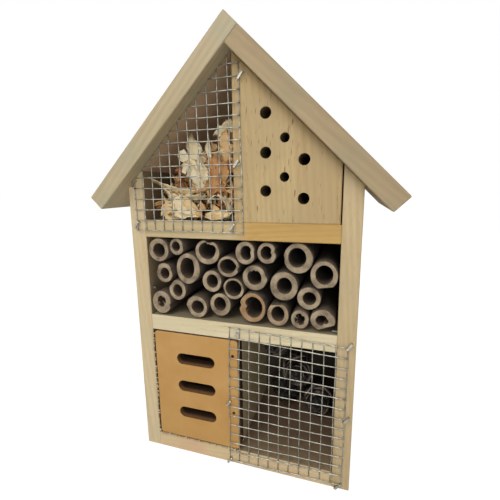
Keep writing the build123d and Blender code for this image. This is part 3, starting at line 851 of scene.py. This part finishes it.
def build_burrs():
    """Splinters along the panel's left side, from the wall, and along its foot, from the bottom board."""
    wall_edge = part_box("left_wall")[1].x - 0.15 * MM
    board_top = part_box("bottom_board")[1].z - 0.15 * MM
    depth = panel_low.y - 0.3 * MM
    side_row = (Vector((wall_edge, depth, panel_low.z)), Vector((wall_edge, depth, panel_high.z)), Vector((1, 0, 0)), "X")
    foot_row = (Vector((panel_low.x, depth, board_top)), Vector((panel_high.x, depth, board_top)), Vector((0, 0, 1)), "Z")
    dice = random.Random(5)
    bm = bmesh.new()
    for row_start, row_end, out, facing in (side_row, foot_row):
        for index in range(burr_count):
            share = min(max((index + dice.uniform(-0.4, 0.4)) / burr_count, 0.01), 0.99)
            reach = dice.uniform(*burr_reach) * MM
            root = row_start.lerp(row_end, share)
            slant = (row_end - row_start).normalized() * dice.uniform(-0.8, 0.8) * MM
            tip = root + out * reach + slant
            thick = dice.uniform(*burr_width) * MM
            tube(bm, [root, root.lerp(tip, 0.6), tip], [thick, thick * 0.7, 0.12 * MM], 5, facing)
    torn_pine = pine("torn_pine", "#d2c09a", "#a58d63", "#bda784", shift=9.4)
    return finish_piece(bm, "torn_edge", [torn_pine], [])


burrs = build_burrs()
print("splinters", 2 * burr_count)

# %% [markdown]
# ## Wood shavings
#
# Shavings come off a plane as thin ribbons, which curl up and tear at their ends. Each one is a strip
# of faces that follows a smooth line, twists about it, and is then given thickness. The ones that show
# at the front are laid one by one; the rest of the heap is strewn at random from a fixed seed.

# %% Finish of the shavings
def planed_shaving():
    """Thin pine, cream to orange-brown, with grain along the strip."""
    finish, tree, shader = new_finish("planed_pine_shavings", 0.7)
    strip = add(tree, "ShaderNodeAttribute", attribute_name="strip")
    axes = add(tree, "ShaderNodeSeparateXYZ", {"Vector": strip.outputs["Vector"]})
    drawn = add(tree, "ShaderNodeMapping", {"Vector": strip.outputs["Vector"], "Scale": (0.1, 1, 1)})
    line = add(tree, "ShaderNodeTexNoise", {"Vector": drawn.outputs[0], "Scale": 1 / (0.9 * MM), "Detail": 3.0})
    place = add(tree, "ShaderNodeTexCoord")
    patch = add(tree, "ShaderNodeTexNoise", {"Vector": place.outputs["Object"], "Scale": 1 / (8 * MM), "Detail": 2.0})
    varied = add(
        tree, "ShaderNodeMath", {0: line.outputs["Fac"], 1: 0.3, 2: axes.outputs["Z"]}, operation="MULTIPLY_ADD"
    )
    shade = add(
        tree, "ShaderNodeMath", {0: patch.outputs["Fac"], 1: 0.35, 2: varied.outputs[0]}, operation="MULTIPLY_ADD"
    )
    tone = add(
        tree,
        "ShaderNodeValToRGB",
        {"Fac": shade.outputs[0]},
        stops=[(0.25, "#e9dcb8"), (0.48, "#dcc28f"), (0.72, "#c69559"), (1.0, "#8f5a33")],
    )
    raised = add(tree, "ShaderNodeBump", {"Height": line.outputs["Fac"], "Strength": 0.5, "Distance": 0.2 * MM})
    tree.links.new(tone.outputs["Color"], shader.inputs["Base Color"])
    tree.links.new(raised.outputs[0], shader.inputs["Normal"])
    return finish


shaving_finish = planed_shaving()
print("finish", shaving_finish.name)

# %% Strips
shaving_thickness = 0.45 * MM
heap_low, heap_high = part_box("wood_shavings")
heap_room = 0.4 * MM
roof_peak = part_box("left_roof_board")[1].z - 10 * MM * math.sqrt(2)


def smooth_line(points, steps):
    """Even steps along a smooth line through some points."""
    ends = [points[0] * 2 - points[1], *points, points[-1] * 2 - points[-2]]
    line = []
    for index in range(len(points) - 1):
        a, b, c, d = ends[index : index + 4]
        for step in range(steps):
            t = step / steps
            line.append(
                (b * 2 + (c - a) * t + (a * 2 - b * 5 + c * 4 - d) * t**2 + (b * 3 - a - c * 3 + d) * t**3) / 2
            )
    line.append(points[-1].copy())
    return line


def keep_in_chamber(place):
    """Holds a point inside the gable chamber, behind the mesh and under the roof."""
    x = min(max(place.x, heap_low.x + heap_room), heap_high.x - heap_room)
    y = min(max(place.y, heap_low.y - 1.6 * MM), heap_high.y - heap_room)
    ceiling = roof_peak - abs(x) - 1.5 * MM
    z = min(max(place.z, heap_low.z + heap_room), ceiling)
    return Vector((x, y, z))


def lay_strip(bm, line, across, width, tint, dice, twist=0.0, cup=0.12):
    """A shaving along a line. Across is the direction of its width where it starts."""
    strip = bm.verts.layers.float_vector["strip"]
    cells = len(line) - 1
    made = bmesh.ops.create_grid(bm, x_segments=cells, y_segments=3, size=1)["verts"]
    tears = [dice.uniform(-1, 1) for _ in range(8)]
    lengths = [0.0]
    for index in range(cells):
        lengths.append(lengths[-1] + (line[index + 1] - line[index]).length)
    for point in made:
        along = (point.co.x + 1) / 2
        side = point.co.y
        index = round(along * cells)
        ahead = (line[min(index + 1, cells)] - line[max(index - 1, 0)]).normalized()
        flat = (across - ahead * across.dot(ahead)).normalized()
        flat = Matrix.Rotation(twist * along, 3, ahead) @ flat
        lift = ahead.cross(flat)
        narrow = 1 - 0.55 * abs(2 * along - 1) ** 2
        ragged = 1 + 0.5 * noise.noise(Vector((along * 9, side * 1.5, tears[0] * 9)))
        reach = side * width / 2 * narrow * ragged
        torn = 0.0
        if index in (0, cells):
            torn = tears[1 + round((side + 1) * 1.5)] * width * 0.5
        crease = noise.noise_vector(line[index] / (4 * MM) + Vector((side, tears[1] * 9, 0))) * width * 0.22
        place = line[index] + flat * reach + ahead * torn + lift * cup * width * (side**2 - 0.5) + crease
        point.co = keep_in_chamber(place)
        point[strip] = (lengths[index], side * width / 2, tint + tears[0] * 0.08)
    faces = list({face for point in made for face in point.link_faces})
    bmesh.ops.solidify(bm, geom=faces, thickness=shaving_thickness)


# %% [markdown]
# The shavings at the front, each as points along its middle in millimetres, the direction of its
# width, its width and how dark it is.

# %% Shavings laid one by one
front_shavings = [
    # the big pale curl and its pointed left end
    ([(-35.5, -30, 189), (-31, -32, 190), (-26, -31, 187), (-21, -27, 180)], (0.3, -0.3, 1), 13, 0.0),
    ([(-27.5, -30, 203), (-26, -31, 196), (-24, -32, 188), (-22, -32, 178), (-24, -30, 171)], (1, 0.2, 0), 9, 0.02),
    ([(-30, -27, 197), (-26, -28, 193), (-20, -28, 192), (-16, -25, 186), (-17, -24, 178)], (0.4, 0.2, 1), 9, 0.05),
    # the long pale slab on the left
    ([(-58, -30, 182), (-52, -31, 179), (-45, -32, 175.5), (-36, -32, 173.5), (-27, -32, 173)], (0.1, -1, 0.6), 6, 0.02),
    ([(-47, -32, 176), (-42, -33, 171), (-38, -33, 169), (-28, -33, 169.5), (-20, -32, 171)], (0, -0.5, 1), 6, 0.08),
    ([(-51, -24, 172), (-44, -22, 178), (-38, -22, 181), (-33, -20, 178)], (0, 1, 0.6), 7, 0.45),
    # orange-brown curls that stand up on the right
    ([(-15, -30, 195), (-13, -32, 188), (-12, -33, 180), (-14, -32, 172)], (1, 0.3, 0), 7, 0.5),
    ([(-9, -29, 192), (-7, -31, 185), (-8, -33, 177), (-6, -32, 168)], (1, -0.3, 0), 7, 0.42),
    ([(-17, -28, 184), (-12, -31, 183), (-7, -31, 186), (-3, -28, 190)], (0, 0.2, 1), 8, 0.55),
    ([(-18, -31, 170), (-14, -33, 174), (-9, -33, 176), (-4, -31, 173)], (0.2, 0.3, 1), 7, 0.6),
    # yellow strip and cream tuft in the upper right corner
    ([(-8, -29, 206), (-7, -31, 200), (-5.5, -31, 194), (-5, -30, 188)], (1, 0.1, 0), 7, 0.3),
    ([(-13, -28, 204), (-9, -29, 207), (-5, -28, 209), (-2, -26, 206)], (0, -0.3, 1), 6, 0.05),
    ([(-14, -12, 214), (-12, -10, 210), (-9, -10, 207), (-6, -12, 204)], (0.5, 0, 1), 6, 0.3),
    ([(-16, -24, 201), (-14, -25, 197), (-12, -25, 192), (-14, -24, 186)], (1, 0.5, 0.3), 6, 0.25),
    # pale pieces along the foot of the heap
    ([(-46, -33, 169), (-43, -34, 163), (-41, -34, 159), (-36, -33, 158)], (1, 0, 0.4), 7, 0.12),
    ([(-42, -34, 165), (-36, -35, 166), (-30, -35, 164), (-24, -34, 163)], (0, 0.2, 1), 7, 0.1),
    ([(-40, -34, 160), (-33, -35, 159.5), (-27, -35, 161), (-21, -34, 160)], (0, 0.1, 1), 5, 0.02),
    ([(-33, -34, 170), (-29, -35, 166), (-26, -35, 163), (-26, -34, 159)], (1, 0, 0.2), 6, 0.3),
    ([(-22, -33, 167), (-20, -35, 163), (-22, -35, 160), (-26, -34, 161)], (0.3, 0.2, 1), 4, 0.25),
    # the arched piece and the orange bits at the lower right
    ([(-16, -33, 166), (-14, -35, 170), (-9, -35, 171), (-5, -35, 166), (-4, -34, 160)], (0, 1, 0.3), 6, 0.04),
    ([(-14, -34, 165), (-11, -35, 161), (-7, -35, 160), (-4, -34, 163)], (0, 0.2, 1), 6, 0.25),
    ([(-20, -33, 159.5), (-15, -35, 159), (-9, -35, 160), (-3, -34, 161)], (0, 0.1, 1), 4, 0.15),
    ([(-12, -33, 175), (-10, -34, 172), (-9, -34, 168), (-11, -33, 164)], (1, 0.2, 0), 4, 0.8),
    ([(-30, -29, 178), (-26, -31, 175), (-21, -31, 176), (-17, -29, 178)], (0.1, 0, 1), 6, 0.5),
    ([(-42, -26, 183), (-38, -27, 178), (-37, -26, 174), (-40, -24, 170)], (1, 0.3, 0), 6, 0.55),
]

chip_count = 80
chip_length = (5.0, 13.0)
chip_width = (1.8, 4.8)
strewn_count = 220
strewn_radius = (2.0, 6.5)
strewn_width = (2.2, 5.5)
heap_profile = [(0.0, 14), (0.2, 19), (0.5, 38), (0.75, 42), (1.0, 46)]


def heap_height(along):
    """Height of the heap above its shelf, from the left wall to the block."""
    for (start, low), (end, high) in zip(heap_profile, heap_profile[1:]):
        if along <= end:
            return (low + (high - low) * (along - start) / (end - start)) * MM
    return heap_profile[-1][1] * MM


def curl_line(dice, centre):
    """A loose helix about centre, turned any way."""
    radius = dice.uniform(*strewn_radius) * MM
    sweep = dice.uniform(1.2, 5.0)
    rise = dice.uniform(-1, 1) * 1.5 * MM
    turn = Euler([dice.uniform(0, math.tau) for _ in range(3)]).to_matrix()
    steps = max(5, round(sweep * 2.6))
    line = []
    for step in range(steps + 1):
        angle = sweep * step / steps
        grow = radius * (1 - 0.08 * angle)
        line.append(centre + turn @ Vector((math.cos(angle) * grow, math.sin(angle) * grow, rise * angle)))
    return line, turn @ Vector((0, 0, 1))


def build_shavings():
    """The whole heap as one piece."""
    dice = random.Random(42)
    bm = bmesh.new()
    bm.verts.layers.float_vector.new("strip")
    for points, across, width, tint in front_shavings:
        line = smooth_line([Vector(point) * MM for point in points], 4)
        lay_strip(bm, line, Vector(across), width * MM, tint, dice, dice.uniform(-0.7, 0.7))
    for _ in range(chip_count):
        along = dice.uniform(0.12, 0.98)
        centre = Vector(
            (
                heap_low.x + (heap_high.x - heap_low.x) * along,
                heap_low.y + dice.uniform(2, 12) * MM,
                heap_low.z + heap_height(along) * dice.uniform(0.02, 1.0),
            )
        )
        turn = Euler([dice.uniform(0, math.tau) for _ in range(3)]).to_matrix()
        reach = dice.uniform(*chip_length) / 2
        bow = dice.uniform(0.5, 2.0)
        line = [centre + turn @ Vector((share * reach, 0, bow * share * share)) * MM for share in (-1, -0.4, 0.3, 1)]
        tint = dice.choice((-0.05, 0.0, 0.1, 0.25, 0.45, 0.65))
        lay_strip(bm, line, turn @ Vector((0, 1, 0)), dice.uniform(*chip_width) * MM, tint, dice, dice.uniform(-1, 1))
    for _ in range(strewn_count):
        along = dice.uniform(0.04, 0.98)
        depth = dice.random() ** 1.3
        level = dice.random()
        if along < 0.3 and depth < 0.35:
            depth += 0.35
        centre = Vector(
            (
                heap_low.x + (heap_high.x - heap_low.x) * along,
                heap_low.y + 6 * MM + (heap_high.y - heap_low.y - 8 * MM) * depth,
                heap_low.z + heap_height(along) * level,
            )
        )
        line, across = curl_line(dice, centre)
        tint = dice.choice((0.0, 0.1, 0.25, 0.4, 0.55, 0.7))
        lay_strip(bm, line, across, dice.uniform(*strewn_width) * MM, tint, dice, dice.uniform(-1, 1))
    return finish_piece(bm, "curled_shavings", [shaving_finish], ["wood_shavings"])


shavings = build_shavings()
print("shavings faces", len(shavings.data.polygons))

# %% [markdown]
# ## Pine cones
#
# A pine cone is a stem with woody scales set round it in a spiral, each a golden angle from the last.
# One scale is shaped from a small grid: narrow at the stem, round at its tip, and bent
# outwards. It is then set thirty-four times round the stem, larger in the middle than at the ends.

# %% Finish of the cones
def cone_scale_finish():
    """Dark brown woody scales with a paler, greyer rim."""
    finish, tree, shader = new_finish("pine_cone_scales", 0.65)
    rim = add(tree, "ShaderNodeAttribute", attribute_name="rim")
    place = add(tree, "ShaderNodeTexCoord")
    speck = add(tree, "ShaderNodeTexNoise", {"Vector": place.outputs["Object"], "Scale": 1 / (1.2 * MM), "Detail": 3.0})
    varied = add(
        tree, "ShaderNodeMath", {0: speck.outputs["Fac"], 1: 0.5, 2: rim.outputs["Fac"]}, operation="MULTIPLY_ADD"
    )
    tone = add(
        tree,
        "ShaderNodeValToRGB",
        {"Fac": varied.outputs[0]},
        stops=[(0.35, "#181311"), (0.7, "#3f322a"), (1.0, "#9b897d")],
    )
    raised = add(tree, "ShaderNodeBump", {"Height": speck.outputs["Fac"], "Strength": 0.6, "Distance": 0.2 * MM})
    tree.links.new(tone.outputs["Color"], shader.inputs["Base Color"])
    tree.links.new(raised.outputs[0], shader.inputs["Normal"])
    return finish


# %% Build the cones
golden_angle = math.pi * (3 - math.sqrt(5))
scale_count = 34
stem_share = 0.3  # stem radius over cone radius


def scale_pattern():
    """One scale, one unit long, from its root at the origin out along X."""
    bm = bmesh.new()
    rim = bm.verts.layers.float.new("rim")
    points = bmesh.ops.create_grid(bm, x_segments=4, y_segments=3, size=1)["verts"]
    for point in points:
        along = (point.co.x + 1) / 2
        side = point.co.y
        width = 0.2 + 0.62 * math.sin(math.pi * min(along * 0.72, 0.62))
        round_tip = 1 - 0.28 * side * side * along
        point.co = Vector((along * round_tip, side * width, 0.34 * along**2 + 0.1 * side * side))
        point[rim] = max(0.0, along - 0.7) * 2.4 * (1 - 0.85 * side * side)
    bmesh.ops.solidify(bm, geom=bm.faces, thickness=0.13)
    mesh = bpy.data.meshes.new("scale_pattern")
    bm.to_mesh(mesh)
    bm.free()
    return mesh


def build_cone(number, pattern, finish):
    """A cone that lies along Y in its node's box."""
    node = f"pine_cone_{number}"
    low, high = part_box(node)
    middle = (low + high) / 2
    length = high.y - low.y
    radius = (high.x - low.x) / 2
    dice = random.Random(number)
    forward = 1 if number % 2 else -1
    spin = dice.uniform(0, math.tau)
    bm = bmesh.new()
    stem_line = [middle + Vector((0, length * (share - 0.5), 0)) for share in (0.08, 0.3, 0.6, 0.9)]
    stem = radius * stem_share
    tube(bm, stem_line, [stem, stem * 2, stem * 1.8, stem * 0.5], 10, "Y")
    for index in range(scale_count):
        share = (index + 0.5) / scale_count
        belly = math.sin(math.pi * (0.06 + 0.9 * share)) ** 0.7
        opening = math.radians(100 - 80 * share)
        size = (radius * belly - stem * 0.5) / max(math.sin(opening), 0.55)
        size *= dice.uniform(0.7, 1.0)
        tip_roll = math.radians(dice.uniform(-22, 22))
        place = Matrix.Translation(middle + Vector((0, forward * length * (share - 0.5) * 0.78, 0)))
        around = Matrix.Rotation(index * golden_angle + spin, 4, "Y")
        along = Matrix.Rotation(math.pi / 2 * forward, 4, "X")
        lift = Matrix.Rotation(opening - math.pi / 2 + math.radians(dice.uniform(-14, 14)), 4, "Y")
        out = Matrix.Translation((stem * 0.3, 0, 0))
        grown = len(bm.verts)
        bm.from_mesh(pattern)
        bm.verts.ensure_lookup_table()
        move = place @ around @ along @ out @ lift @ Matrix.Rotation(tip_roll, 4, "X") @ Matrix.Scale(size, 4)
        bmesh.ops.transform(bm, matrix=move, verts=bm.verts[grown:])
    for point in bm.verts:
        for axis in range(3):
            point.co[axis] = min(max(point.co[axis], low[axis]), high[axis])
    return finish_piece(bm, f"cone_{number}", [finish], [node])


scale = scale_pattern()
cone_finish = cone_scale_finish()
cones = [build_cone(number, scale, cone_finish) for number in range(1, 6)]
bpy.data.meshes.remove(scale)
print("cones", len(cones), "faces each", len(cones[0].data.polygons))

# %% [markdown]
# ## Studio
#
# The hotel stands on a white sheet under large soft lamps. The sheet has to read as pure white without
# more light on the wood, so what the camera sees of the sheet and the surroundings glows at just one,
# and the sheet still takes a soft shadow.


# %% Floor and surroundings
def white_sheet():
    """A white floor that the camera sees brighter than the lamps make it."""
    finish, tree, shader = new_finish("white_paper", 0.9)
    shader.inputs["Base Color"].default_value = colour("#f2f2f2")
    glow = add(tree, "ShaderNodeEmission", {"Color": (1, 1, 1, 1), "Strength": 1.15})
    path = add(tree, "ShaderNodeLightPath")
    share = add(tree, "ShaderNodeMath", {0: path.outputs["Is Camera Ray"], 1: 0.85}, operation="MULTIPLY")
    mixed = add(
        tree,
        "ShaderNodeMixShader",
        {0: share.outputs[0], 1: shader.outputs[0], 2: glow.outputs[0]},
    )
    tree.links.new(mixed.outputs[0], tree.nodes["Material Output"].inputs["Surface"])
    return finish


def make_floor():
    """A wide flat sheet under the hotel."""
    bm = bmesh.new()
    bmesh.ops.create_grid(bm, x_segments=1, y_segments=1, size=6.0)
    mesh = bpy.data.meshes.new("floor")
    bm.to_mesh(mesh)
    bm.free()
    mesh.materials.append(white_sheet())
    floor = bpy.data.objects.new("floor", mesh)
    floor.location.z = -0.02 * MM
    bpy.context.scene.collection.objects.link(floor)
    return floor


def make_surroundings(strength):
    """White to the camera and in reflections, and a soft dim light on the object."""
    world = bpy.data.worlds.new("studio")
    bpy.context.scene.world = world
    world.use_nodes = True
    tree = world.node_tree
    sky = tree.nodes["Background"]
    path = add(tree, "ShaderNodeLightPath")
    seen = add(
        tree, "ShaderNodeMath", {0: path.outputs["Is Camera Ray"], 1: path.outputs["Is Glossy Ray"]}, operation="MAXIMUM"
    )
    level = add(
        tree, "ShaderNodeMapRange", {"Value": seen.outputs[0], "To Min": strength, "To Max": 1.0}
    )
    tree.links.new(level.outputs[0], sky.inputs["Strength"])
    sky.inputs["Color"].default_value = (1, 1, 1, 1)


def make_lamp(name, place, target, size, power):
    """A square soft lamp that faces its target."""
    lamp = bpy.data.objects.new(name, bpy.data.lights.new(name, "AREA"))
    lamp.data.shape = "SQUARE"
    lamp.data.size = size
    lamp.data.energy = power
    facing = (Vector(target) - Vector(place)).to_track_quat("-Z", "Y")
    lamp.matrix_world = Matrix.Translation(place) @ facing.to_matrix().to_4x4()
    bpy.context.scene.collection.objects.link(lamp)


make_floor()
make_surroundings(0.22)
hotel_middle = (0, 0, 0.12)
make_lamp("key_lamp", (-0.2, -0.75, 0.95), hotel_middle, 0.6, 6.4)
make_lamp("fill_lamp", (0.25, -0.95, 0.3), hotel_middle, 0.4, 2.8)
make_lamp("back_lamp", (0.1, 0.95, 0.6), hotel_middle, 0.8, 5.0)
bpy.context.scene.view_settings.view_transform = "Standard"
print("lamps", len(bpy.data.lights))

# %% [markdown]
# ## Finish
#
# The number of pieces made here is printed.

# %% Finish
print("pieces", len(canes) + len(cones) + 4)
